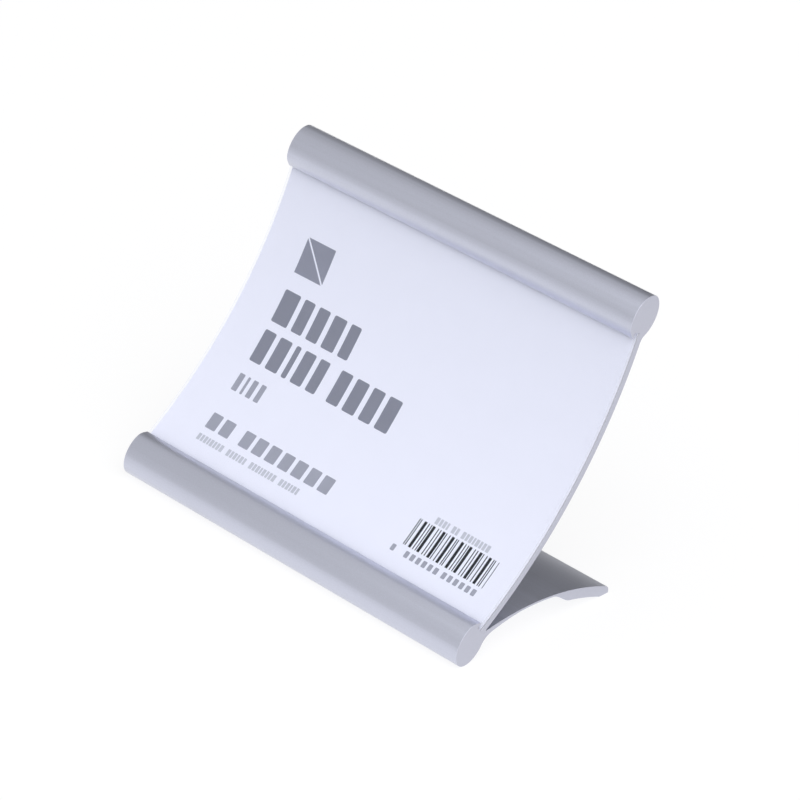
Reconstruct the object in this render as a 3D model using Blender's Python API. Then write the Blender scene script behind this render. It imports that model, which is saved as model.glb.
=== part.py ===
"""Free-standing sign holder: a curved aluminium extrusion that grips a printed card and its clear cover.

Lengths are in millimetres and angles in degrees. The section lies in the YZ plane and runs along X, and the
card faces -Y. Unless said otherwise, angles are counted from straight down about the plate's bend centre.
"""

import math

import bmesh
import bpy
from mathutils import Vector

METRES_PER_MM = 0.001

# Curved plate, with the radius of its back face and the slope at its middle
WIDTH = 70.0
PLATE_RADIUS = 79.0
PLATE_THICKNESS = 0.95
PLATE_LEAN = 54.2

# Rounded beads along the plate's upper and lower edges, oval in section
BEAD_LENGTH = 7.24
BEAD_DEPTH = 5.3
BEAD_SPREAD = 19.95
BEAD_TURN = 19.5
BEAD_INSET = 0.8

# Card, clear cover and the grooves that hold them
SHEET_HEIGHT = 48.7
CARD_THICKNESS = 0.25
COVER_THICKNESS = 0.25
SHEET_GAP = 0.2
GROOVE_SPREAD = 18.2

# Leg that runs back from the lower bead, thins and swells into a foot, measured from the bead's centre
LEG_RADIUS = 48.8
LEG_CREST_BEHIND = 11.5
LEG_CREST_HEIGHT = 5.1
LEG_THICKNESS = 1.05
LEG_WAIST = 0.5
LEG_TAPER = 12.0
FOOT_THICKNESS = 1.75
FOOT_STARTS_BEHIND = 17.8
FOOT_BLEND = 4.4
FOOT_ENDS_BEHIND = 30.9

# How far each rounded corner reaches along the faces that it joins
LIP_ROUND = 0.3
GROOVE_ROUND = 0.2
BEAD_TO_LEG_ROUND = 1.7
FOOT_SOLE_ROUND = 0.2
FOOT_TIP_ROUND = 0.75
LEG_TO_PLATE_ROUND = 0.6
PLATE_TO_BEAD_ROUND = 0.9

# Straight steps that stand for each curve, and halvings that find where two curves cross
BEAD_STEPS = 40
PLATE_STEPS = 24
LEG_STEPS = 48
LIP_STEPS = 4
CORNER_STEPS = 5
HALVINGS = 40

SMOOTH_ANGLE = math.radians(30.0)

CARD_BACK_RADIUS = PLATE_RADIUS - PLATE_THICKNESS - SHEET_GAP
COVER_BACK_RADIUS = CARD_BACK_RADIUS - CARD_THICKNESS - SHEET_GAP
LIP_RADIUS = COVER_BACK_RADIUS - COVER_THICKNESS - SHEET_GAP


def around(centre, radius, angle):
    """Point at a radius from a centre, with the angle counted from straight down."""
    turn = math.radians(angle)
    return centre + radius * Vector((math.sin(turn), -math.cos(turn)))


def arc(centre, radius, start, end, steps):
    """Points along a circle from one angle to another."""
    angles = (start + (end - start) * step / steps for step in range(steps + 1))
    return [around(centre, radius, angle) for angle in angles]


def ease(part):
    """Share of a change from 0 to 1 that starts and stops softly."""
    part = min(max(part, 0.0), 1.0)
    return part * part * (3.0 - 2.0 * part)


def crossing(curve, holds, low, high):
    """Parameter at which a curve leaves the region that it starts in, found by halving."""
    for _ in range(HALVINGS):
        middle = (low + high) / 2
        if holds(curve(middle)):
            low = middle
        else:
            high = middle
    return low


class Bead:
    """Oval section with its long axis at a slope above the horizontal."""

    def __init__(self, centre, slope):
        self.centre = centre
        self.along = Vector((math.cos(math.radians(slope)), math.sin(math.radians(slope))))
        self.across = Vector((-self.along.y, self.along.x))
        self.half_length = BEAD_LENGTH / 2
        self.half_depth = BEAD_DEPTH / 2

    def half_height(self):
        """Height of the oval's highest point above its centre."""
        return math.hypot(self.half_length * self.along.y, self.half_depth * self.across.y)

    def unit(self, point):
        """A point's place in the circle that the oval is a stretched copy of."""
        offset = point - self.centre
        return Vector((offset.dot(self.along) / self.half_length, offset.dot(self.across) / self.half_depth))

    def clear_of(self, point):
        """True for a point outside the oval."""
        return self.unit(point).length > 1.0

    def turn_at(self, point):
        """Turn about the centre, in radians, at which the oval passes a point on it."""
        unit = self.unit(point)
        return math.atan2(unit.y, unit.x)

    def outline(self, start, end):
        """Points anticlockwise along the oval, from one point on it to another."""
        first = self.turn_at(start)
        sweep = (self.turn_at(end) - first) % math.tau
        points = []
        for step in range(BEAD_STEPS + 1):
            turn = first + sweep * step / BEAD_STEPS
            along = self.half_length * math.cos(turn) * self.along
            across = self.half_depth * math.sin(turn) * self.across
            points.append(self.centre + along + across)
        return points


class Leg:
    """Arched leg whose underside swells into a thicker foot with a flat sole."""

    def __init__(self, root, floor):
        self.floor = floor
        self.start = root.x
        self.centre = Vector((root.x + LEG_CREST_BEHIND, floor + LEG_CREST_HEIGHT - LEG_RADIUS))
        self.end = root.x + FOOT_ENDS_BEHIND

    def on_arch(self, behind, drop):
        """Point at a depth below the arch's top face, measured along the arch's radius."""
        lean = math.asin((behind - self.centre.x) / LEG_RADIUS)
        return self.centre + (LEG_RADIUS - drop) * Vector((math.sin(lean), math.cos(lean)))

    def top(self, behind):
        """Point of the top face."""
        return self.on_arch(behind, 0.0)

    def under(self, behind):
        """Point of the underside, which ends on the floor."""
        from_root = behind - self.start
        taper = ease(from_root / LEG_TAPER) * (LEG_WAIST - LEG_THICKNESS)
        swell = ease((from_root - FOOT_STARTS_BEHIND) / FOOT_BLEND) * (FOOT_THICKNESS - LEG_WAIST)
        point = self.on_arch(behind, LEG_THICKNESS + taper + swell)
        return Vector((point.x, max(point.y, self.floor)))

    def run(self, face, start):
        """Points of one face from its start near the root to the foot's end."""
        places = (start + (self.end - start) * step / LEG_STEPS for step in range(LEG_STEPS + 1))
        return [face(place) for place in places]


def cut_back(run, reach):
    """A run of points shortened at its end by a distance along it."""
    points = list(run)
    while True:
        last = points[-1] - points[-2]
        if last.length > reach:
            points[-1] = points[-1] - last.normalized() * reach
            return points
        reach -= last.length
        points.pop()


def closed_outline(runs, reaches):
    """Chain runs of points into one outline, with a parabola at the corner after each run."""
    outline = []
    for index, run in enumerate(runs):
        following = runs[(index + 1) % len(runs)]
        face = cut_back(run, reaches[index])
        face = cut_back(face[::-1], reaches[index - 1])[::-1]
        outline += face
        corner = run[-1]
        beyond = cut_back(following[::-1], reaches[index])[-1]
        for step in range(1, CORNER_STEPS):
            part = step / CORNER_STEPS
            near = face[-1].lerp(corner, part)
            far = corner.lerp(beyond, part)
            outline.append(near.lerp(far, part))
    return outline


def frame_outline(bend):
    """Section of the extrusion, from the upper bead down the card side and back along the leg."""
    low_angle = PLATE_LEAN - BEAD_SPREAD
    high_angle = PLATE_LEAN + BEAD_SPREAD
    bead_track = PLATE_RADIUS - BEAD_INSET
    low = Bead(around(bend, bead_track, low_angle), low_angle + BEAD_TURN)
    high = Bead(around(bend, bead_track, high_angle), high_angle - BEAD_TURN)
    leg = Leg(low.centre, low.centre.y - low.half_height())
    groove_low = PLATE_LEAN - GROOVE_SPREAD
    groove_high = PLATE_LEAN + GROOVE_SPREAD
    plate_front = PLATE_RADIUS - PLATE_THICKNESS

    def behind_plate(point):
        return (point - bend).length > PLATE_RADIUS

    def lip_line(angle):
        return around(bend, LIP_RADIUS, angle)

    def back_line(angle):
        return around(bend, PLATE_RADIUS, angle)

    lip_low = crossing(lip_line, low.clear_of, PLATE_LEAN, groove_low)
    lip_high = crossing(lip_line, high.clear_of, PLATE_LEAN, groove_high)
    back_high = crossing(back_line, high.clear_of, PLATE_LEAN, high_angle)
    leg_top = crossing(leg.top, behind_plate, leg.end, leg.start)
    leg_under = crossing(leg.under, low.clear_of, leg.centre.x, leg.start)
    back_low = leg.top(leg_top) - bend
    back_low_angle = math.degrees(math.atan2(back_low.x, -back_low.y))
    sole_end = Vector((leg.end, leg.floor))

    runs_and_rounds = [
        (high.outline(back_line(back_high), lip_line(lip_high)), LIP_ROUND),
        (arc(bend, LIP_RADIUS, lip_high, groove_high, LIP_STEPS), GROOVE_ROUND),
        ([lip_line(groove_high), around(bend, plate_front, groove_high)], GROOVE_ROUND),
        (arc(bend, plate_front, groove_high, groove_low, PLATE_STEPS), GROOVE_ROUND),
        ([around(bend, plate_front, groove_low), lip_line(groove_low)], GROOVE_ROUND),
        (arc(bend, LIP_RADIUS, groove_low, lip_low, LIP_STEPS), LIP_ROUND),
        (low.outline(lip_line(lip_low), leg.under(leg_under)), BEAD_TO_LEG_ROUND),
        (leg.run(leg.under, leg_under)[:-1] + [sole_end], FOOT_SOLE_ROUND),
        ([sole_end, leg.top(leg.end)], FOOT_TIP_ROUND),
        (leg.run(leg.top, leg_top)[::-1], LEG_TO_PLATE_ROUND),
        (arc(bend, PLATE_RADIUS, back_low_angle, back_high, PLATE_STEPS), PLATE_TO_BEAD_ROUND),
    ]
    runs = [run for run, reach in runs_and_rounds]
    rounds = [reach for run, reach in runs_and_rounds]
    return closed_outline(runs, rounds)


def sheet_outline(bend, back, thickness):
    """Section of a flat sheet bowed to the plate's curve and centred on it, from its back face's radius."""
    front = back - thickness
    half_angle = math.degrees(SHEET_HEIGHT / (back + front))
    start = PLATE_LEAN - half_angle
    end = PLATE_LEAN + half_angle
    return arc(bend, back, start, end, PLATE_STEPS) + arc(bend, front, end, start, PLATE_STEPS)


def material(name, colour, roughness, metallic, transmission=0.0):
    """Plain surface for one piece."""
    finish = bpy.data.materials.new(name)
    finish.use_nodes = True
    shader = finish.node_tree.nodes["Principled BSDF"]
    shader.inputs["Base Color"].default_value = (*colour, 1.0)
    shader.inputs["Roughness"].default_value = roughness
    shader.inputs["Metallic"].default_value = metallic
    shader.inputs["Transmission Weight"].default_value = transmission
    return finish


def extruded_piece(name, outline, origin, finish):
    """Solid that carries an outline across the full width, with its origin at a point of the section."""
    half_width = WIDTH / 2 * METRES_PER_MM
    mesh = bpy.data.meshes.new(name)
    solid = bmesh.new()
    corners = []
    for point in outline:
        place = (point - origin) * METRES_PER_MM
        corners.append(solid.verts.new((-half_width, place.x, place.y)))
    end_face = solid.faces.new(corners)
    swept = bmesh.ops.extrude_face_region(solid, geom=[end_face])["geom"]
    far_end = [item for item in swept if isinstance(item, bmesh.types.BMVert)]
    bmesh.ops.translate(solid, verts=far_end, vec=(2 * half_width, 0.0, 0.0))
    bmesh.ops.recalc_face_normals(solid, faces=solid.faces)
    solid.to_mesh(mesh)
    solid.free()
    mesh.materials.append(finish)
    mesh.shade_smooth()
    mesh.set_sharp_from_angle(angle=SMOOTH_ANGLE)
    piece = bpy.data.objects.new(name, mesh)
    piece.location = (0.0, origin.x * METRES_PER_MM, origin.y * METRES_PER_MM)
    bpy.context.collection.objects.link(piece)
    return piece


def standing_centre():
    """Centre of the plate's bend that puts the section's base on the ground, centred front to back."""
    outline = frame_outline(Vector((0.0, 0.0)))
    places = [point.x for point in outline]
    lowest = min(point.y for point in outline)
    return Vector((-(min(places) + max(places)) / 2, -lowest))


def build():
    """Make the extrusion, the card and the clear cover."""
    for item in list(bpy.data.objects):
        bpy.data.objects.remove(item, do_unlink=True)
    bend = standing_centre()
    ground = Vector((0.0, 0.0))
    card_middle = around(bend, CARD_BACK_RADIUS - CARD_THICKNESS / 2, PLATE_LEAN)
    cover_middle = around(bend, COVER_BACK_RADIUS - COVER_THICKNESS / 2, PLATE_LEAN)
    card = sheet_outline(bend, CARD_BACK_RADIUS, CARD_THICKNESS)
    cover = sheet_outline(bend, COVER_BACK_RADIUS, COVER_THICKNESS)
    anodised = material("satin_anodised_aluminium", (0.46, 0.47, 0.50), 0.38, 1.0)
    paper = material("white_card_stock", (0.80, 0.80, 0.90), 0.60, 0.0)
    film = material("clear_film", (0.95, 0.96, 0.98), 0.08, 0.0, transmission=1.0)
    extruded_piece("extruded_frame", frame_outline(bend), ground, anodised)
    extruded_piece("sign_card", card, card_middle, paper)
    extruded_piece("clear_cover", cover, cover_middle, film)


build()
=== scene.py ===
"""Dressed model of a free-standing sign holder: an aluminium extrusion, its printed card and a clear cover.

Sizes in the classes are in millimetres and degrees, as in the part's own source. Meshes are made in metres,
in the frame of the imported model: X runs along the width, the card faces -Y and Z is up.
"""

import logging
import math
from collections.abc import Callable, Iterable
from dataclasses import dataclass, field
from enum import Enum
from functools import partial

import bmesh
import bpy
from bpy.types import ID, Material, Node, NodeSocket, NodeTree, Object
from mathutils import Matrix, Vector
from mathutils.geometry import delaunay_2d_cdt


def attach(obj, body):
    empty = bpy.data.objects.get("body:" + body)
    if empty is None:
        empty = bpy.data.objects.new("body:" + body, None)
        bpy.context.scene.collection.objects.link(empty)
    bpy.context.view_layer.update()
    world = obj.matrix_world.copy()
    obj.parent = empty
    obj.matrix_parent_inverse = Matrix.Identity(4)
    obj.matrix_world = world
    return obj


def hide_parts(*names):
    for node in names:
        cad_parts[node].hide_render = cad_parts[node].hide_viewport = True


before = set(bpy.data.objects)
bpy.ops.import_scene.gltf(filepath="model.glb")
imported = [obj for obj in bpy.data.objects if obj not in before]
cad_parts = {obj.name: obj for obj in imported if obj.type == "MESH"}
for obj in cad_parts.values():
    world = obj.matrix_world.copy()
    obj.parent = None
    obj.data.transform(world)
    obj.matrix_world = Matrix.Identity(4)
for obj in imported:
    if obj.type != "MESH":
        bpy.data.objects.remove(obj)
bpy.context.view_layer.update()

LOG = logging.getLogger("sign_holder")
MM = 0.001
SMOOTH_ANGLE = math.radians(30.0)

# Share of a corner's radius that a broken edge may take, and how fast that may change along the outline
EDGE_SHARE = 0.5
EDGE_SLOPE = 0.5

# Play of the test for where the sheets lie, and the play and the kind of the cut in the card's face
SLACK = 0.05
CUT_PLAY = 1e-6
CUT_INSIDE = 1

# Values between which most of a noise lies, and the numbers of a Mix node's paired inputs and colour result
NOISE_MIDDLE = (0.3, 0.7)
MIX_VALUES = (2, 3)
MIX_COLOURS = (6, 7)
MIXED_COLOUR = 2
WHITE = (1.0, 1.0, 1.0, 1.0)

# Widths of the small blocks in turn, of the blocks in the second tall row, and of a group under the stripes
SMALL_BLOCKS = (0.62, 0.5, 0.56, 0.38, 0.6, 0.46, 0.54)
SECOND_ROW = (2.4, 2.5, 1.0, 2.3, 2.0, -0.55, 2.4, 2.5, 2.4, 2.6)
CODE_GROUP = (0.75,) * 6

Colour = tuple[float, float, float]
Triple = tuple[float, float, float]
Range = tuple[float, float]
Point = tuple[float, float]
Faces = list[tuple[int, ...]]
Curve = Callable[[float], Vector]


class Body(Enum):
    """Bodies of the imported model."""

    FRAME = "frame"
    CARD = "card"
    COVER = "cover"


class Slot(Enum):
    """Material slots of the part's record."""

    ALUMINIUM = "anodised_aluminium"
    CARD = "card_stock"
    FILM = "clear_film"


class Ink(Enum):
    """What a patch of the card's face is printed with."""

    NONE = "bare"
    TILE = "tile_grey"
    HEADING = "heading_grey"
    TEXT = "text_grey"
    FAINT = "faint_grey"
    STRIPE = "stripe_black"


INK_COLOURS = {
    Ink.TILE: (0.285, 0.295, 0.365),
    Ink.HEADING: (0.245, 0.255, 0.315),
    Ink.TEXT: (0.36, 0.37, 0.44),
    Ink.FAINT: (0.55, 0.565, 0.64),
    Ink.STRIPE: (0.012, 0.013, 0.019),
}


def shade(colour: Colour, factor: float) -> Colour:
    """A colour made lighter or darker by a factor."""
    return tuple(channel * factor for channel in colour)


class Sheet:
    """Lays out the nodes of one material or of the world."""

    def __init__(self, tree: NodeTree) -> None:
        """Keep the tree that nodes are added to."""
        self.tree = tree

    def add(self, kind: str, values: dict | None = None, **settings: object) -> Node:
        """Add a node, set its properties and fill its inputs.

        Args:
            kind: The node's type, without the start that all shader nodes share.
            values: Input names or numbers, each with a plain value to set or a socket to link.
            settings: Properties of the node itself.

        Returns:
            The new node.
        """
        node = self.tree.nodes.new("ShaderNode" + kind)
        for name, value in settings.items():
            setattr(node, name, value)
        self.fill(node, values or {})
        return node

    def fill(self, node: Node, values: dict) -> None:
        """Set or link inputs of a node.

        Args:
            node: The node whose inputs are filled.
            values: Input names or numbers, each with a plain value to set or a socket to link.
        """
        for name, value in values.items():
            if isinstance(value, NodeSocket):
                self.tree.links.new(value, node.inputs[name])
            else:
                node.inputs[name].default_value = value

    def surface(self, result: NodeSocket) -> None:
        """Show a shader as the material's surface."""
        self.fill(self.tree.nodes["Material Output"], {"Surface": result})

    def maths(self, operation: str, first: object, second: object) -> NodeSocket:
        """The result of an operation on two values or sockets."""
        return self.add("Math", {0: first, 1: second}, operation=operation).outputs["Value"]

    def noise(self, scale: Triple, detail: float, roughness: float = 0.5, slope: float = 0.0) -> NodeSocket:
        """Noise laid in the piece's own space.

        Args:
            scale: Waves per metre along X, Y and Z.
            detail: Octaves of finer noise.
            roughness: Weight of the finer octaves.
            slope: Turn of the noise about X, in degrees.

        Returns:
            The socket of the noise's value.
        """
        place = self.add("TexCoord").outputs["Object"]
        turn = (math.radians(slope), 0.0, 0.0)
        stretched = self.add("Mapping", {"Vector": place, "Rotation": turn, "Scale": scale}).outputs["Vector"]
        values = {"Vector": stretched, "Scale": 1.0, "Detail": detail, "Roughness": roughness}
        return self.add("TexNoise", values).outputs["Fac"]

    def average(self, first: NodeSocket, second: NodeSocket) -> NodeSocket:
        """The mean of two noises."""
        low, high = MIX_VALUES
        return self.add("Mix", {0: 0.5, low: first, high: second}).outputs["Result"]

    def ranged(self, value: NodeSocket, low: float, high: float) -> NodeSocket:
        """Spread a noise's middle over a range.

        Args:
            value: The noise.
            low: Result at the noise's low values.
            high: Result at the noise's high values.

        Returns:
            The socket of the result.
        """
        least, most = NOISE_MIDDLE
        values = {"Value": value, "From Min": least, "From Max": most, "To Min": low, "To Max": high}
        return self.add("MapRange", values).outputs["Result"]

    def varied(self, colour: Colour, variation: float, value: NodeSocket) -> NodeSocket:
        """Make a colour darker and lighter with a noise.

        Args:
            colour: The middle colour.
            variation: Share by which the colour gets darker and lighter.
            value: The noise.

        Returns:
            The socket of the varied colour.
        """
        dark, light = MIX_COLOURS
        values = {
            0: self.ranged(value, 0.0, 1.0),
            dark: (*shade(colour, 1.0 - variation), 1.0),
            light: (*shade(colour, 1.0 + variation), 1.0),
        }
        return self.add("Mix", values, data_type="RGBA").outputs[MIXED_COLOUR]

    def bump(self, height: NodeSocket, depth: float, strength: float) -> NodeSocket:
        """Turn a height into a normal.

        Args:
            height: Height from 0 to 1.
            depth: Depth in metres of a height of 1.
            strength: Share of the depth that shows.

        Returns:
            The socket of the normal.
        """
        values = {"Height": height, "Distance": depth, "Strength": strength}
        return self.add("Bump", values).outputs["Normal"]


def new_material(name: str) -> tuple[Material, Sheet, Node]:
    """Make a material with one surface shader.

    Args:
        name: The material's name.

    Returns:
        The material, the sheet that lays out its nodes, and its surface shader.
    """
    material = bpy.data.materials.new(name)
    material.use_nodes = True
    sheet = Sheet(material.node_tree)
    return material, sheet, material.node_tree.nodes["Principled BSDF"]


@dataclass(frozen=True)
class MetalFinish:
    """Anodised aluminium whose colour, gloss and relief follow its marks and a fine grain."""

    name: str
    colour: Colour
    variation: float
    mark_scale: Triple
    mark_detail: float
    grain_scale: Triple
    roughness: Range
    depth: float
    mark_weight: float = 0.5
    mark_slope: float = 0.0
    grain_detail: float = 2.0
    relief: float = 0.5
    coat_weight: float = 0.0
    coat_roughness: float = 0.3
    coat_index: float = 1.5

    def material(self) -> Material:
        """Build the material.

        Returns:
            The material.
        """
        material, sheet, shader = new_material(self.name)
        marks = sheet.noise(self.mark_scale, self.mark_detail, self.mark_weight, self.mark_slope)
        height = sheet.average(marks, sheet.noise(self.grain_scale, self.grain_detail))
        values = {
            "Base Color": sheet.varied(self.colour, self.variation, height),
            "Metallic": 1.0,
            "Roughness": sheet.ranged(marks, *self.roughness),
            "Coat Weight": self.coat_weight,
            "Coat Roughness": self.coat_roughness,
            "Coat IOR": self.coat_index,
            "Normal": sheet.bump(height, self.depth, self.relief),
        }
        sheet.fill(shader, values)
        return material


# Satin sides, with fine lines along the direction that the metal was drawn in
DRAWN_SIDES = MetalFinish(
    name="satin_anodised_aluminium",
    colour=(0.615, 0.634, 0.742),
    variation=0.07,
    mark_scale=(6.0, 1500.0, 1500.0),
    mark_detail=5.0,
    mark_weight=0.62,
    grain_scale=(7000.0, 7000.0, 7000.0),
    roughness=(0.42, 0.50),
    depth=0.000004,
    coat_weight=1.0,
)

# Sawn ends, with faint slanting saw marks
SAWN_ENDS = MetalFinish(
    name="sawn_anodised_end",
    colour=(0.566, 0.575, 0.66),
    variation=0.03,
    mark_scale=(300.0, 4200.0, 500.0),
    mark_detail=3.0,
    mark_slope=38.0,
    grain_scale=(5200.0, 5200.0, 5200.0),
    roughness=(0.40, 0.50),
    depth=0.000012,
)


@dataclass(frozen=True)
class PaperFinish:
    """Smooth printed card: the stock itself, or a patch of it under ink."""

    name: str = "smooth_white_card"
    colour: Colour = (0.858, 0.866, 0.97)
    variation: float = 0.008
    mottle_scale: Triple = (260.0, 260.0, 260.0)
    fibre_scale: Triple = (2600.0, 5200.0, 5200.0)
    detail: float = 3.0
    roughness: Range = (0.52, 0.62)
    specular: float = 0.3
    depth: float = 0.000005
    relief: float = 0.4

    def material(self) -> Material:
        """Build the material.

        Returns:
            The material.
        """
        material, sheet, shader = new_material(self.name)
        mottle = sheet.noise(self.mottle_scale, self.detail)
        fibres = sheet.noise(self.fibre_scale, self.detail)
        values = {
            "Base Color": sheet.varied(self.colour, self.variation, sheet.average(mottle, fibres)),
            "Roughness": sheet.ranged(fibres, *self.roughness),
            "Specular IOR Level": self.specular,
            "Normal": sheet.bump(fibres, self.depth, self.relief),
        }
        sheet.fill(shader, values)
        return material


@dataclass(frozen=True)
class FilmFinish:
    """Clear film that lets the card show and reflects a little, with faint rubbed haze."""

    name: str = "clear_cover_film"
    tint: Colour = (0.985, 0.99, 1.0)
    index: float = 1.3
    haze_scale: Triple = (90.0, 700.0, 700.0)
    haze_detail: float = 4.0
    roughness: Range = (0.12, 0.16)

    def material(self) -> Material:
        """Build the material, which reflects only at the face that light meets first.

        Returns:
            The material.
        """
        material, sheet, shader = new_material(self.name)
        sheet.tree.nodes.remove(shader)
        haze = sheet.noise(self.haze_scale, self.haze_detail)
        clear = sheet.add("BsdfTransparent", {"Color": (*self.tint, 1.0)}).outputs["BSDF"]
        values = {"Color": WHITE, "Roughness": sheet.ranged(haze, *self.roughness)}
        gloss = sheet.add("BsdfGlossy", values).outputs["BSDF"]
        fresnel = sheet.add("Fresnel", {"IOR": self.index}).outputs["Fac"]
        inside = sheet.add("NewGeometry").outputs["Backfacing"]
        part = sheet.maths("MULTIPLY", fresnel, sheet.maths("SUBTRACT", 1.0, inside))
        sheet.surface(sheet.add("MixShader", {0: part, 1: clear, 2: gloss}).outputs["Shader"])
        return material


@dataclass(frozen=True)
class FilmEdgeFinish:
    """Cut edge of the film, clear with a faint frost."""

    name: str = "cut_film_edge"
    tint: Colour = (0.985, 0.99, 1.0)
    colour: Colour = (0.92, 0.93, 0.98)
    nick_scale: Triple = (1500.0, 1500.0, 1500.0)
    nick_detail: float = 3.0
    frost: Range = (0.08, 0.16)

    def material(self) -> Material:
        """Build the material, with the frost in patches of the cut.

        Returns:
            The material.
        """
        material, sheet, shader = new_material(self.name)
        sheet.tree.nodes.remove(shader)
        nicks = sheet.noise(self.nick_scale, self.nick_detail)
        clear = sheet.add("BsdfTransparent", {"Color": (*self.tint, 1.0)}).outputs["BSDF"]
        white = sheet.add("BsdfDiffuse", {"Color": (*self.colour, 1.0)}).outputs["BSDF"]
        values = {0: sheet.ranged(nicks, *self.frost), 1: clear, 2: white}
        sheet.surface(sheet.add("MixShader", values).outputs["Shader"])
        return material


@dataclass(frozen=True)
class HolderSizes:
    """Sizes of the extruded section, with angles from straight down about the plate's bend centre."""

    width: float = 70.0
    plate_radius: float = 79.0
    plate_thickness: float = 0.95
    plate_lean: float = 54.2
    bead_length: float = 7.24
    bead_depth: float = 5.3
    bead_spread: float = 19.95
    bead_turn: float = 19.5
    bead_inset: float = 0.8
    groove_width: float = 1.1
    groove_spread: float = 18.2
    card_height: float = 49.38
    card_thickness: float = 0.37
    cover_height: float = 49.04
    cover_thickness: float = 0.64
    sheet_gap: float = 0.03
    leg_radius: float = 48.8
    leg_crest_behind: float = 11.5
    leg_crest_height: float = 5.1
    leg_thickness: float = 1.05
    leg_waist: float = 0.34
    leg_taper: float = 12.0
    foot_thickness: float = 1.75
    foot_starts_behind: float = 17.8
    foot_blend: float = 4.4
    foot_ends_behind: float = 30.9
    lip_slope_length: float = 1.7
    lip_slope_round: float = 0.55
    lip_round: float = 0.55
    groove_round: float = 0.05
    bead_to_leg_round: float = 1.7
    foot_sole_round: float = 0.2
    foot_tip_round: float = 0.75
    leg_to_plate_round: float = 0.6
    plate_to_bead_round: float = 0.9

    @property
    def plate_front(self) -> float:
        """Radius of the plate's front face."""
        return self.plate_radius - self.plate_thickness

    @property
    def card_back(self) -> float:
        """Radius of the card's back face."""
        return self.plate_front - self.sheet_gap

    @property
    def cover_back(self) -> float:
        """Radius of the cover's back face."""
        return self.card_back - self.card_thickness - self.sheet_gap

    @property
    def lip_radius(self) -> float:
        """Radius of the groove lips' inner faces."""
        return self.plate_front - self.groove_width


@dataclass(frozen=True)
class Steps:
    """Straight steps that stand for each curve of the section."""

    bead: int = 110
    plate: int = 56
    leg: int = 80
    lip: int = 6
    corner: int = 9
    halvings: int = 40


def around(centre: Vector, radius: float, angle: float) -> Vector:
    """Point at a radius and an angle, in degrees from straight down, about a centre."""
    turn = math.radians(angle)
    return centre + radius * Vector((math.sin(turn), -math.cos(turn)))


def spread(start: float, end: float, steps: int) -> list[float]:
    """Even places from a start to an end."""
    return [start + (end - start) * step / steps for step in range(steps + 1)]


def ease(part: float) -> float:
    """Share of a change from 0 to 1 that starts and stops softly."""
    part = min(max(part, 0.0), 1.0)
    return part * part * (3.0 - 2.0 * part)


def cut_back(run: list[Vector], reach: float) -> list[Vector]:
    """Shorten a run of points at its end.

    Args:
        run: Points of the run.
        reach: Distance to take off, along the run.

    Returns:
        The shortened run.
    """
    points = list(run)
    while (points[-1] - points[-2]).length <= reach:
        reach -= (points[-1] - points[-2]).length
        points.pop()
    last = points[-1] - points[-2]
    points[-1] = points[-1] - last.normalized() * reach
    return points


@dataclass(frozen=True)
class Bead:
    """Oval bead along an edge of the plate."""

    centre: Vector
    slope: float
    half_length: float
    half_depth: float

    @property
    def along(self) -> Vector:
        """Direction of the oval's long axis."""
        return Vector((math.cos(math.radians(self.slope)), math.sin(math.radians(self.slope))))

    @property
    def across(self) -> Vector:
        """Direction of the oval's short axis."""
        return self.along.orthogonal()

    @property
    def half_height(self) -> float:
        """Height of the oval's highest point above its centre."""
        return math.hypot(self.half_length * self.along.y, self.half_depth * self.across.y)

    def unit(self, point: Vector) -> Vector:
        """A point's place in the circle that the oval is a stretched copy of."""
        offset = point - self.centre
        return Vector((offset.dot(self.along) / self.half_length, offset.dot(self.across) / self.half_depth))

    def clear_of(self, point: Vector) -> bool:
        """True for a point outside the oval."""
        return self.unit(point).length > 1.0

    def turn_at(self, point: Vector) -> float:
        """Turn about the centre, in radians, at which the oval passes a point on it."""
        unit = self.unit(point)
        return math.atan2(unit.y, unit.x)

    def outline(self, start: Vector, end: Vector, steps: int) -> list[Vector]:
        """Points anticlockwise along the oval.

        Args:
            start: First point, on the oval.
            end: Last point, on the oval.
            steps: Number of straight steps.

        Returns:
            The points.
        """
        first = self.turn_at(start)
        sweep = (self.turn_at(end) - first) % math.tau
        points = []
        for turn in spread(first, first + sweep, steps):
            along = self.half_length * math.cos(turn) * self.along
            across = self.half_depth * math.sin(turn) * self.across
            points.append(self.centre + along + across)
        return points


@dataclass(frozen=True)
class Leg:
    """Arched leg whose underside swells into a thicker foot with a flat sole."""

    root: Vector
    floor: float
    sizes: HolderSizes

    @property
    def centre(self) -> Vector:
        """Centre of the arch."""
        height = self.floor + self.sizes.leg_crest_height - self.sizes.leg_radius
        return Vector((self.root.x + self.sizes.leg_crest_behind, height))

    @property
    def end(self) -> float:
        """Place of the foot's end."""
        return self.root.x + self.sizes.foot_ends_behind

    def on_arch(self, behind: float, drop: float) -> Vector:
        """Point at a depth below the arch's top face, measured along the arch's radius."""
        lean = math.asin((behind - self.centre.x) / self.sizes.leg_radius)
        return self.centre + (self.sizes.leg_radius - drop) * Vector((math.sin(lean), math.cos(lean)))

    def top(self, behind: float) -> Vector:
        """Point of the top face."""
        return self.on_arch(behind, 0.0)

    def under(self, behind: float) -> Vector:
        """Point of the underside, which ends on the floor.

        Args:
            behind: Place of the point from front to back.

        Returns:
            The point.
        """
        sizes = self.sizes
        from_root = behind - self.root.x
        taper = ease(from_root / sizes.leg_taper) * (sizes.leg_waist - sizes.leg_thickness)
        growth = ease((from_root - sizes.foot_starts_behind) / sizes.foot_blend)
        swell = growth * (sizes.foot_thickness - sizes.leg_waist)
        point = self.on_arch(behind, sizes.leg_thickness + taper + swell)
        return Vector((point.x, max(point.y, self.floor)))

    def run(self, face: Curve, start: float, steps: int) -> list[Vector]:
        """Points of one face from its start near the root to the foot's end."""
        return [face(place) for place in spread(start, self.end, steps)]


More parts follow.
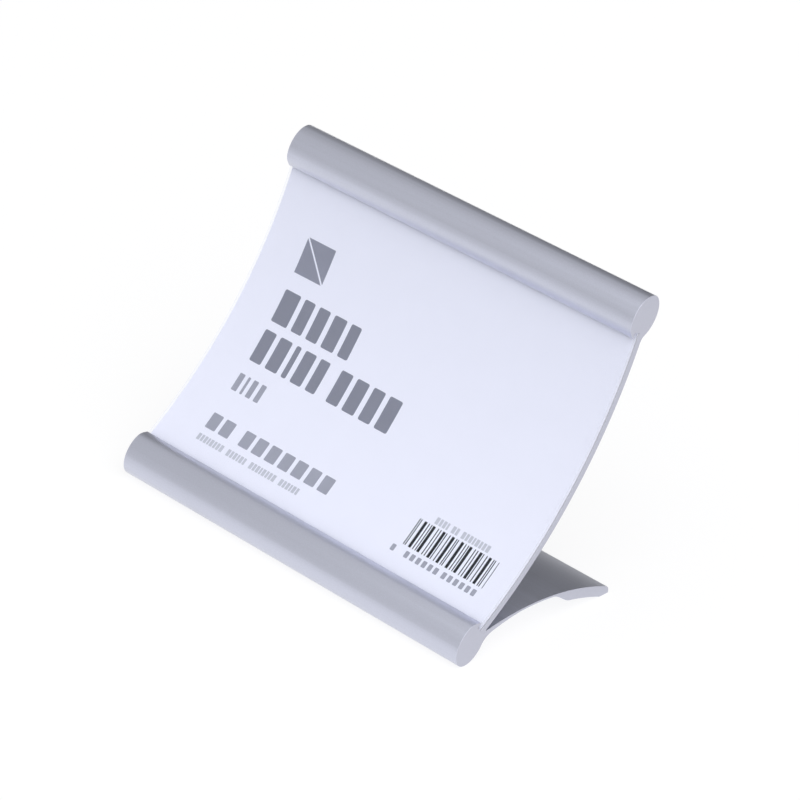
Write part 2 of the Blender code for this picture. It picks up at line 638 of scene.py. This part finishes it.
@dataclass
class HolderSection:
    """Section of the holder across its width, standing on the ground and centred front to back."""

    sizes: HolderSizes = field(default_factory=HolderSizes)
    steps: Steps = field(default_factory=Steps)
    bend: Vector = field(default_factory=lambda: Vector((0.0, 0.0)))

    def __post_init__(self) -> None:
        """Move the bend centre so that the section stands on the ground, centred front to back."""
        outline = self.frame_outline()
        places = [point.x for point in outline]
        lowest = min(point.y for point in outline)
        self.bend = Vector((-(min(places) + max(places)) / 2, -lowest))

    def on_plate(self, radius: float, angle: float) -> Vector:
        """Point at a radius and an angle about the plate's bend centre."""
        return around(self.bend, radius, angle)

    def arc(self, radius: float, start: float, end: float, steps: int) -> list[Vector]:
        """Points along a circle about the plate's bend centre."""
        return [self.on_plate(radius, angle) for angle in spread(start, end, steps)]

    def crossing(self, curve: Curve, holds: Callable[[Vector], bool], low: float, high: float) -> float:
        """Find where a curve leaves the region that it starts in.

        Args:
            curve: Gives the curve's point at a place along it.
            holds: True for a point in the region.
            low: Place of the start, inside the region.
            high: Place outside the region.

        Returns:
            The place along the curve.
        """
        for _ in range(self.steps.halvings):
            middle = (low + high) / 2
            if holds(curve(middle)):
                low = middle
            else:
                high = middle
        return low

    def bead(self, side: int) -> Bead:
        """The bead along one edge of the plate.

        Args:
            side: -1 for the lower edge, 1 for the upper edge.

        Returns:
            The bead.
        """
        sizes = self.sizes
        angle = sizes.plate_lean + side * sizes.bead_spread
        centre = self.on_plate(sizes.plate_radius - sizes.bead_inset, angle)
        return Bead(centre, angle - side * sizes.bead_turn, sizes.bead_length / 2, sizes.bead_depth / 2)

    def runs(self) -> list[tuple[list[Vector], float]]:
        """Faces of the extrusion in order round its section.

        Returns:
            Each face's points, with how far the rounded corner after it reaches.
        """
        sizes = self.sizes
        steps = self.steps
        lean = sizes.plate_lean
        low = self.bead(-1)
        high = self.bead(1)
        leg = Leg(low.centre, low.centre.y - low.half_height, sizes)
        groove_low = lean - sizes.groove_spread
        groove_high = lean + sizes.groove_spread

        lip = partial(self.on_plate, sizes.lip_radius)
        back = partial(self.on_plate, sizes.plate_radius)
        front = partial(self.on_plate, sizes.plate_front)

        def behind_plate(point: Vector) -> bool:
            """True for a point behind the plate's back."""
            return (point - self.bend).length > sizes.plate_radius

        lip_low = self.crossing(lip, low.clear_of, lean, groove_low)
        lip_high = self.crossing(lip, high.clear_of, lean, groove_high)
        back_high = self.crossing(back, high.clear_of, lean, lean + sizes.bead_spread)
        leg_top = self.crossing(leg.top, behind_plate, leg.end, leg.root.x)
        leg_under = self.crossing(leg.under, low.clear_of, leg.centre.x, leg.root.x)
        root = leg.top(leg_top) - self.bend
        back_low = math.degrees(math.atan2(root.x, -root.y))
        sole_end = Vector((leg.end, leg.floor))
        underside = leg.run(leg.under, leg_under, steps.leg)[:-1] + [sole_end]
        high_face = high.outline(back(back_high), lip(lip_high), steps.bead)
        high_round = cut_back(high_face, sizes.lip_slope_length)
        low_face = low.outline(lip(lip_low), leg.under(leg_under), steps.bead)
        low_round = cut_back(low_face[::-1], sizes.lip_slope_length)[::-1]
        return [
            (high_round, sizes.lip_slope_round),
            ([high_round[-1], high_face[-1]], sizes.lip_round),
            (self.arc(sizes.lip_radius, lip_high, groove_high, steps.lip), sizes.groove_round),
            ([lip(groove_high), front(groove_high)], sizes.groove_round),
            (self.arc(sizes.plate_front, groove_high, groove_low, steps.plate), sizes.groove_round),
            ([front(groove_low), lip(groove_low)], sizes.groove_round),
            (self.arc(sizes.lip_radius, groove_low, lip_low, steps.lip), sizes.lip_round),
            ([low_face[0], low_round[0]], sizes.lip_slope_round),
            (low_round, sizes.bead_to_leg_round),
            (underside, sizes.foot_sole_round),
            ([sole_end, leg.top(leg.end)], sizes.foot_tip_round),
            (leg.run(leg.top, leg_top, steps.leg)[::-1], sizes.leg_to_plate_round),
            (self.arc(sizes.plate_radius, back_low, back_high, steps.plate), sizes.plate_to_bead_round),
        ]

    def at_sheets(self, point: Vector) -> bool:
        """Whether a point is on the plate's front or in a groove, where the sheets lie.

        Args:
            point: A point of the frame's outline.

        Returns:
            True between the plate's front and the lips, as far as the grooves reach.
        """
        spoke = point - self.bend
        turn = math.degrees(math.atan2(spoke.x, -spoke.y)) - self.sizes.plate_lean
        inside = self.sizes.lip_radius - SLACK < spoke.length < self.sizes.plate_front + SLACK
        return inside and abs(turn) < self.sizes.groove_spread + SLACK

    def frame_outline(self) -> list[Vector]:
        """Closed outline of the extrusion, with a parabola at the corner after each face.

        Returns:
            The points in order round the outline.
        """
        runs = self.runs()
        outline: list[Vector] = []
        for index, (run, reach) in enumerate(runs):
            following = runs[(index + 1) % len(runs)][0]
            face = cut_back(run, reach)
            face = cut_back(face[::-1], runs[index - 1][1])[::-1]
            outline += face
            corner = run[-1]
            beyond = cut_back(following[::-1], reach)[-1]
            for part in spread(0.0, 1.0, self.steps.corner)[1:-1]:
                near = face[-1].lerp(corner, part)
                far = corner.lerp(beyond, part)
                outline.append(near.lerp(far, part))
        return outline


def outward_normals(outline: list[Vector]) -> list[Vector]:
    """Directions out of a closed outline at its points.

    Args:
        outline: Points in order round the outline.

    Returns:
        One unit vector for each point.
    """
    edges = [(outline[(i + 1) % len(outline)] - point).normalized() for i, point in enumerate(outline)]
    area = sum(point.cross(outline[(i + 1) % len(outline)]) for i, point in enumerate(outline))
    turn = math.copysign(1.0, area)
    normals = []
    for index, edge in enumerate(edges):
        along = (edges[index - 1] + edge).normalized()
        normals.append(Vector((along.y, -along.x)) * turn)
    return normals


def edge_reaches(outline: list[Vector], normals: list[Vector], most: list[float]) -> list[float]:
    """How far an outline can be drawn in at its points without folding over at a tight corner.

    Args:
        outline: Points in order round the outline.
        normals: Directions out of the outline at its points.
        most: Distance for each point, wherever the outline is straight, hollow or gently rounded.

    Returns:
        One distance for each point, changing slowly along the outline.
    """
    count = len(outline)
    steps = [(outline[(i + 1) % count] - point).length for i, point in enumerate(outline)]
    reaches = []
    for index, normal in enumerate(normals):
        after = (index + 1) % count
        opening = (outline[after] - outline[index]).dot(normals[after] - normal)
        radius = steps[index] ** 2 / opening if opening > 0.0 else math.inf
        reaches.append(min(most[index], EDGE_SHARE * radius))
    for order in (range(2 * count), range(2 * count, 0, -1)):
        for place in order:
            index = place % count
            beside = place - 1 if order.step > 0 else place + 1
            apart = steps[index - 1] if order.step > 0 else steps[index]
            reaches[index] = min(reaches[index], reaches[beside % count] + EDGE_SLOPE * apart)
    return reaches


def linked(name: str, data: ID) -> Object:
    """Make an object of a mesh, a lamp or a camera and link it to the scene.

    Args:
        name: The object's name.
        data: What it shows.

    Returns:
        The object.
    """
    made = bpy.data.objects.new(name, data)
    bpy.context.scene.collection.objects.link(made)
    return made


def new_piece(
    name: str,
    points: list[Vector],
    faces: Faces,
    slots: list[int],
    materials: Iterable[Material],
) -> Object:
    """Make a closed piece from points and faces.

    Args:
        name: The piece's name.
        points: Points in millimetres.
        faces: Corners of each face.
        slots: Number of each face's material.
        materials: The piece's materials.

    Returns:
        The piece, linked to the scene.
    """
    mesh = bpy.data.meshes.new(name)
    mesh.from_pydata([point * MM for point in points], [], faces)
    for material in materials:
        mesh.materials.append(material)
    mesh.polygons.foreach_set("material_index", slots)
    solid = bmesh.new()
    solid.from_mesh(mesh)
    bmesh.ops.recalc_face_normals(solid, faces=solid.faces)
    solid.to_mesh(mesh)
    solid.free()
    mesh.shade_smooth()
    mesh.set_sharp_from_angle(angle=SMOOTH_ANGLE)
    return linked(name, mesh)


def tube_faces(count: int, rings: int) -> Faces:
    """Faces of a closed tube made of rings of points.

    Args:
        count: Points in each ring.
        rings: Number of rings.

    Returns:
        The first end, the last end, and then the sides from ring to ring.
    """
    last = (rings - 1) * count
    faces = [tuple(range(count)), tuple(range(last, last + count))]
    for low in range(0, last, count):
        for index in range(count):
            after = (index + 1) % count
            faces.append((low + index, low + after, low + count + after, low + count + index))
    return faces


def stand_in(piece: Object, node: str, body: Body, slot: Slot) -> None:
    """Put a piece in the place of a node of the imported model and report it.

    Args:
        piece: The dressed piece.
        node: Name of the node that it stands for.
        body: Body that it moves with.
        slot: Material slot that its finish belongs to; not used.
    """
    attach(piece, body.value)
    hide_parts(node)
    LOG.info("%s stands for %s: %d faces", piece.name, node, len(piece.data.polygons))


@dataclass
class ExtrudedFrame:
    """Plate, beads, leg and foot in one length of aluminium, with the sharp edges of its ends taken off."""

    section: HolderSection
    sides: MetalFinish = DRAWN_SIDES
    ends: MetalFinish = SAWN_ENDS
    edge_break: float = 0.04
    inner_break: float = 0.02
    edge_steps: int = 4
    name: str = "holder_extrusion"

    def rings(self) -> list[tuple[float, float]]:
        """Rings of points from the left end to the right one.

        Returns:
            Each ring's place along the width, and the share of the broken edge by which it is drawn in.
        """
        half = self.section.sizes.width / 2
        rings = []
        for turn in spread(90.0, 0.0, self.edge_steps):
            short = self.edge_break * (1.0 - math.sin(math.radians(turn)))
            inset = 1.0 - math.cos(math.radians(turn))
            rings.append((short - half, inset))
        return rings + [(-place, inset) for place, inset in reversed(rings)]

    def build(self) -> None:
        """Build and dress the extrusion."""
        outline = self.section.frame_outline()
        normals = outward_normals(outline)
        most = [self.inner_break if self.section.at_sheets(point) else self.edge_break for point in outline]
        reaches = edge_reaches(outline, normals, most)
        rings = self.rings()
        points = []
        for place, inset in rings:
            for point, normal, reach in zip(outline, normals, reaches):
                moved = point - inset * reach * normal
                points.append(Vector((place, moved.x, moved.y)))
        faces = tube_faces(len(outline), len(rings))
        slots = [1, 1] + [0] * (len(faces) - 2)
        piece = new_piece(self.name, points, faces, slots, [self.sides.material(), self.ends.material()])
        stand_in(piece, "extruded_frame", Body.FRAME, Slot.ALUMINIUM)


@dataclass(frozen=True)
class Mark:
    """One printed shape, with its corners on the flat card in millimetres from the card's middle."""

    corners: list[Point]
    ink: Ink


def rounded_box(
    left: float, low: float, right: float, high: float, radius: float, ink: Ink, steps: int = 4
) -> Mark:
    """A box with rounded corners.

    Args:
        left: Place of the left side.
        low: Place of the lower side.
        right: Place of the right side.
        high: Place of the upper side.
        radius: Radius of the corners.
        ink: What the box is printed with.
        steps: Straight steps round each corner.

    Returns:
        The mark.
    """
    corners = []
    centres = [(right, high, 0.0), (left, high, 90.0), (left, low, 180.0), (right, low, 270.0)]
    for across, up, start in centres:
        middle_across = across - math.copysign(radius, across - (left + right) / 2)
        middle_up = up - math.copysign(radius, up - (low + high) / 2)
        for turn in spread(start, start + 90.0, steps):
            angle = math.radians(turn)
            corners.append((middle_across + radius * math.cos(angle), middle_up + radius * math.sin(angle)))
    return Mark(corners, ink)


def plain_box(left: float, low: float, right: float, high: float, ink: Ink) -> Mark:
    """A box with square corners."""
    return Mark([(left, low), (right, low), (right, high), (left, high)], ink)


def groups(lengths: Iterable[int], space: float) -> tuple[float, ...]:
    """Widths of groups of small blocks, with a space after each group.

    Args:
        lengths: Number of blocks in each group.
        space: Width of the space.

    Returns:
        Widths for a printed row, with the spaces less than 0.
    """
    widths: list[float] = []
    for length in lengths:
        widths += [SMALL_BLOCKS[index % len(SMALL_BLOCKS)] for index in range(length)]
        widths.append(-space)
    return tuple(widths)


@dataclass(frozen=True)
class PrintedRow:
    """A printed row of blocks. A width of 0 or less makes a space."""

    start: float
    low: float
    height: float
    gap: float
    radius: float
    ink: Ink
    widths: tuple[float, ...]

    def marks(self) -> list[Mark]:
        """The row's blocks.

        Returns:
            One mark for each block.
        """
        marks = []
        place = self.start
        high = self.low + self.height
        for width in self.widths:
            if width > 0.0:
                marks.append(rounded_box(place, self.low, place + width, high, self.radius, self.ink))
            place += abs(width) + self.gap
        return marks


@dataclass(frozen=True)
class SampleLayout:
    """Print of a sample card: a tile, rows of blocks, and plain stripes."""

    left: float = -27.5
    tile_size: float = 5.9
    tile_top: float = 15.0
    tile_line: float = 0.28
    stripes_left: float = 15.1
    stripes_right: float = 31.0
    stripes_low: float = -19.2
    stripes_high: float = -14.6
    stripe_unit: float = 0.168
    left_rows: tuple[PrintedRow, ...] = (
        PrintedRow(left, 0.8, 5.45, 0.95, 0.3, Ink.HEADING, (3.3, 2.2, 2.3, 2.6, 2.1)),
        PrintedRow(left, -6.1, 5.45, 0.95, 0.3, Ink.HEADING, SECOND_ROW),
        PrintedRow(left, -11.45, 3.0, 0.72, 0.15, Ink.TEXT, (1.1, 0.5, 1.0, 1.0)),
        PrintedRow(left, -18.55, 2.75, 0.72, 0.2, Ink.TEXT, (2.1, 2.1, -0.8) + (2.1,) * 7),
        PrintedRow(left, -20.85, 1.15, 0.17, 0.1, Ink.FAINT, groups((8, 6, 8, 6), 0.6)),
    )
    stripe_rows: tuple[PrintedRow, ...] = (
        PrintedRow(17.6, -14.25, 1.15, 0.17, 0.1, Ink.FAINT, groups((4, 2, 8), 0.35)),
        PrintedRow(13.7, -20.9, 1.1, 0.43, 0.15, Ink.TEXT, (0.75, -1.12) + CODE_GROUP + (0.0,) + CODE_GROUP),
    )

    def tile(self) -> list[Mark]:
        """The square tile with a slanting line across it.

        Returns:
            The tile's marks.
        """
        low = self.tile_top - self.tile_size
        right = self.left + self.tile_size
        slant = self.tile_line / math.sqrt(2.0)
        line = [
            (self.left, self.tile_top - slant),
            (right - slant, low),
            (right, low),
            (right, low + slant),
            (self.left + slant, self.tile_top),
            (self.left, self.tile_top),
        ]
        return [plain_box(self.left, low, right, self.tile_top, Ink.TILE), Mark(line, Ink.NONE)]

    def stripes(self) -> list[Mark]:
        """A block of upright stripes of varied width.

        Returns:
            One mark for each stripe.
        """
        marks = []
        place = self.stripes_left
        index = 0
        while place < self.stripes_right:
            width = self.stripe_unit * (1 + (index * index + 2 * index) % 3)
            end = min(place + width, self.stripes_right)
            marks.append(plain_box(place, self.stripes_low, end, self.stripes_high, Ink.STRIPE))
            place = end + self.stripe_unit * (1 + (index * 5 + 1) % 4 // 2 + index % 2)
            index += 1
        return marks

    def marks(self) -> list[Mark]:
        """All marks in the order in which they are printed.

        Returns:
            The marks.
        """
        marks = self.tile()
        for row in self.left_rows:
            marks += row.marks()
        marks += self.stripes()
        for row in self.stripe_rows:
            marks += row.marks()
        return marks


@dataclass
class BowedSheet:
    """A thin sheet bowed to the plate's curve, with its front face nearer the bend centre than its back."""

    section: HolderSection
    back: float
    thickness: float
    height: float
    rows: int = 72

    @property
    def front(self) -> float:
        """Radius of the front face."""
        return self.back - self.thickness

    @property
    def half_width(self) -> float:
        """Half of the sheet's width."""
        return self.section.sizes.width / 2

    @property
    def heights(self) -> list[float]:
        """Places of the rows up the flat sheet, from its middle."""
        return spread(-self.height / 2, self.height / 2, self.rows)

    def place(self, across: float, up: float, radius: float) -> Vector:
        """Point of the bowed sheet.

        Args:
            across: Place across the flat sheet, from its middle.
            up: Place up the flat sheet, from its middle.
            radius: Radius of the face that the point is on.

        Returns:
            The point in millimetres.
        """
        middle = (self.back + self.front) / 2
        angle = self.section.sizes.plate_lean + math.degrees(up / middle)
        point = self.section.on_plate(radius, angle)
        return Vector((across, point.x, point.y))


@dataclass
class PrintedCard(BowedSheet):
    """The printed card. Its print is part of its front face, cut along the edges of each mark."""

    layout: SampleLayout = field(default_factory=SampleLayout)
    stock: PaperFinish = field(default_factory=PaperFinish)
    # Painted shade: the card's cut edge is coloured a dim grey, far darker than the white stock, so that it
    # takes the tone of the shaded end faces beside it
    edge: PaperFinish = PaperFinish("cut_card_edge_painted_shade", (0.5, 0.51, 0.575), 0.05)
    ink_variation: float = 0.05
    name: str = "printed_card"

    def cut_face(self) -> tuple[list[Vector], list[list[int]], list[Ink], list[list[int]]]:
        """Cut the flat front face along its rows and its marks.

        Returns:
            Points of the flat face, corners of its triangles, what each triangle is printed with, and the
            points at the rows' left and right ends.
        """
        half = self.half_width
        heights = self.heights
        marks = self.layout.marks()
        points = [Vector((side * half, height)) for height in heights for side in (-1, 1)]
        edges = [(2 * row, 2 * row + 1) for row in range(len(heights))]
        last = 2 * len(heights) - 1
        outlines = [[0, 1] + [2 * row + 1 for row in range(1, len(heights) - 1)] + [last, last - 1]]
        outlines[0] += [2 * row for row in range(len(heights) - 2, 0, -1)]
        for mark in marks:
            first = len(points)
            points += [Vector(corner) for corner in mark.corners]
            outlines.append(list(range(first, len(points))))
        cut = delaunay_2d_cdt(points, edges, outlines, CUT_INSIDE, CUT_PLAY)
        flat, _, triangles, sources, _, owners = cut
        found = {source: index for index, group in enumerate(sources) for source in group}
        ends = [[found[2 * row + side] for row in range(len(heights))] for side in (0, 1)]
        inks = []
        for owner in owners:
            top = max(owner)
            inks.append(marks[top - 1].ink if top else Ink.NONE)
        return flat, triangles, inks, ends

    def build(self) -> None:
        """Build and dress the card."""
        flat, triangles, inks, fronts = self.cut_face()
        points = [self.place(point.x, point.y, self.front) for point in flat]
        faces: Faces = [tuple(triangle) for triangle in triangles]
        kinds = list(Ink)
        slots = [kinds.index(ink) for ink in inks]
        backs: list[list[int]] = []
        for across in (-self.half_width, self.half_width):
            first = len(points)
            points += [self.place(across, height, self.back) for height in self.heights]
            backs.append(list(range(first, len(points))))
        for row in range(self.rows):
            faces.append((backs[0][row], backs[0][row + 1], backs[1][row + 1], backs[1][row]))
        slots += [0] * self.rows
        for front, back in zip(fronts, backs):
            for row in range(self.rows):
                faces.append((front[row], front[row + 1], back[row + 1], back[row]))
        for row in (0, self.rows):
            faces.append((fronts[0][row], fronts[1][row], backs[1][row], backs[0][row]))
        slots += [len(kinds)] * (len(faces) - len(slots))
        materials = [self.stock.material()]
        for ink in kinds[1:]:
            materials.append(PaperFinish(ink.value, INK_COLOURS[ink], self.ink_variation).material())
        materials.append(self.edge.material())
        piece = new_piece(self.name, points, faces, slots, materials)
        stand_in(piece, "sign_card", Body.CARD, Slot.CARD)


@dataclass
class ClearCover(BowedSheet):
    """The clear film over the card."""

    face: FilmFinish = field(default_factory=FilmFinish)
    edge: FilmEdgeFinish = field(default_factory=FilmEdgeFinish)
    name: str = "cover_film"

    def build(self) -> None:
        """Build and dress the cover."""
        half = self.half_width
        corners = ((-half, self.front), (half, self.front), (half, self.back), (-half, self.back))
        points = [self.place(across, height, radius) for height in self.heights for across, radius in corners]
        faces = tube_faces(len(corners), self.rows + 1)
        slots = [1, 1] + [0, 1, 0, 1] * self.rows
        piece = new_piece(self.name, points, faces, slots, [self.face.material(), self.edge.material()])
        stand_in(piece, "clear_cover", Body.COVER, Slot.FILM)


@dataclass
class Studio:
    """Pale floor, a soft world that is dimmer behind the holder and on its right, and one broad lamp."""

    floor_half: float = 3.0
    floor_drop: float = 0.00005
    floor_colour: Colour = (0.6, 0.6, 0.61)
    floor_roughness: float = 0.9
    seen_glow: float = 0.82
    seen_part: float = 0.34
    dim: float = 0.14
    bright: float = 0.65
    rise: float = 0.5
    aside: float = 0.4
    ramp: Range = (-0.55, 0.85)
    lamp_place: Triple = (1.95, -0.72, 1.95)
    lamp_size: float = 4.6
    lamp_power: float = 102.0

    def floor(self) -> None:
        """Make the floor."""
        half = self.floor_half
        mesh = bpy.data.meshes.new("studio_floor")
        corners = [(-half, -half), (half, -half), (half, half), (-half, half)]
        mesh.from_pydata([(*corner, -self.floor_drop) for corner in corners], [], [(0, 1, 2, 3)])
        mesh.materials.append(self.floor_material())
        floor = linked("studio_floor", mesh)

    def floor_material(self) -> Material:
        """Matt floor that looks white directly and in reflections, and keeps a soft shadow.

        Returns:
            The material.
        """
        material, sheet, shader = new_material("pale_floor")
        sheet.fill(shader, {"Base Color": (*self.floor_colour, 1.0), "Roughness": self.floor_roughness})
        rays = sheet.add("LightPath").outputs
        seen = sheet.maths("MAXIMUM", rays["Is Camera Ray"], rays["Is Glossy Ray"])
        seen = sheet.maths("MAXIMUM", seen, rays["Is Transmission Ray"])
        glow = sheet.add("Emission", {"Strength": self.seen_glow}).outputs["Emission"]
        dark = sheet.add("BsdfDiffuse", {"Color": (*shade(self.floor_colour, self.seen_part), 1.0)})
        shown = sheet.add("AddShader", {0: dark.outputs["BSDF"], 1: glow}).outputs["Shader"]
        values = {0: seen, 1: shader.outputs["BSDF"], 2: shown}
        sheet.surface(sheet.add("MixShader", values).outputs["Shader"])
        return material

    def world(self) -> None:
        """Light the scene from all round, brightest from high on the front left."""
        world = bpy.data.worlds.new("studio_world")
        world.use_nodes = True
        sheet = Sheet(world.node_tree)
        towards = sheet.add("TexCoord").outputs["Generated"]
        parts = sheet.add("SeparateXYZ", {"Vector": towards}).outputs
        raised = sheet.maths("MULTIPLY", parts["Z"], self.rise)
        right = sheet.maths("MULTIPLY", parts["X"], self.aside)
        forward = sheet.maths("SUBTRACT", sheet.maths("SUBTRACT", raised, parts["Y"]), right)
        values = {
            "Value": forward,
            "From Min": self.ramp[0],
            "From Max": self.ramp[1],
            "To Min": self.dim,
            "To Max": self.bright,
        }
        level = sheet.add("MapRange", values, interpolation_type="SMOOTHSTEP").outputs["Result"]
        sheet.fill(world.node_tree.nodes["Background"], {"Strength": level, "Color": WHITE})
        bpy.context.scene.world = world

    def lamp(self) -> None:
        """Make the lamp and turn it towards the holder."""
        light = bpy.data.lights.new("soft_lamp", "AREA")
        light.shape = "SQUARE"
        light.size = self.lamp_size
        light.energy = self.lamp_power
        lamp = linked("soft_lamp", light)
        lamp.location = self.lamp_place
        lamp.rotation_euler = (-Vector(self.lamp_place)).to_track_quat("-Z", "Y").to_euler()

    def build(self) -> None:
        """Make the floor, the world and the lamp."""
        self.floor()
        self.world()
        self.lamp()
        LOG.info("studio is set")


@dataclass
class PhotoCamera:
    """Camera at the photograph's view, with angles in degrees and its place in millimetres."""

    azimuth: float = 40.7825
    elevation: float = 29.0892
    roll: float = 5.6003
    place: Triple = (348.42, -399.79, 318.09)
    lens: float = 182.79
    sensor: float = 36.0
    nearest: float = 10.0

    def build(self) -> None:
        """Make the camera and set it as the scene's own."""
        turn = math.radians(self.azimuth)
        rise = math.radians(self.elevation)
        roll = math.radians(self.roll)
        back = Vector((math.sin(turn) * math.cos(rise), -math.cos(turn) * math.cos(rise), math.sin(rise)))
        level = Vector((math.cos(turn), math.sin(turn), 0.0))
        upright = back.cross(level)
        right = math.cos(roll) * level + math.sin(roll) * upright
        up = math.cos(roll) * upright - math.sin(roll) * level
        data = bpy.data.cameras.new("photo_camera")
        data.sensor_width = self.sensor
        data.lens = self.lens
        data.clip_start = self.nearest * MM
        camera = linked("photo_camera", data)
        turned = Matrix((right, up, back)).transposed().to_4x4()
        camera.matrix_world = Matrix.Translation(Vector(self.place) * MM) @ turned
        bpy.context.scene.camera = camera


def main() -> None:
    """Build the camera, the studio and the pieces in order."""
    logging.basicConfig(level=logging.INFO, format="%(name)s: %(message)s")
    bpy.context.scene.view_settings.view_transform = "Standard"
    PhotoCamera().build()
    Studio().build()
    section = HolderSection()
    sizes = section.sizes
    ExtrudedFrame(section).build()
    PrintedCard(section, sizes.card_back, sizes.card_thickness, sizes.card_height).build()
    ClearCover(section, sizes.cover_back, sizes.cover_thickness, sizes.cover_height).build()
    bpy.context.view_layer.update()


if __name__ == "__main__":
    main()
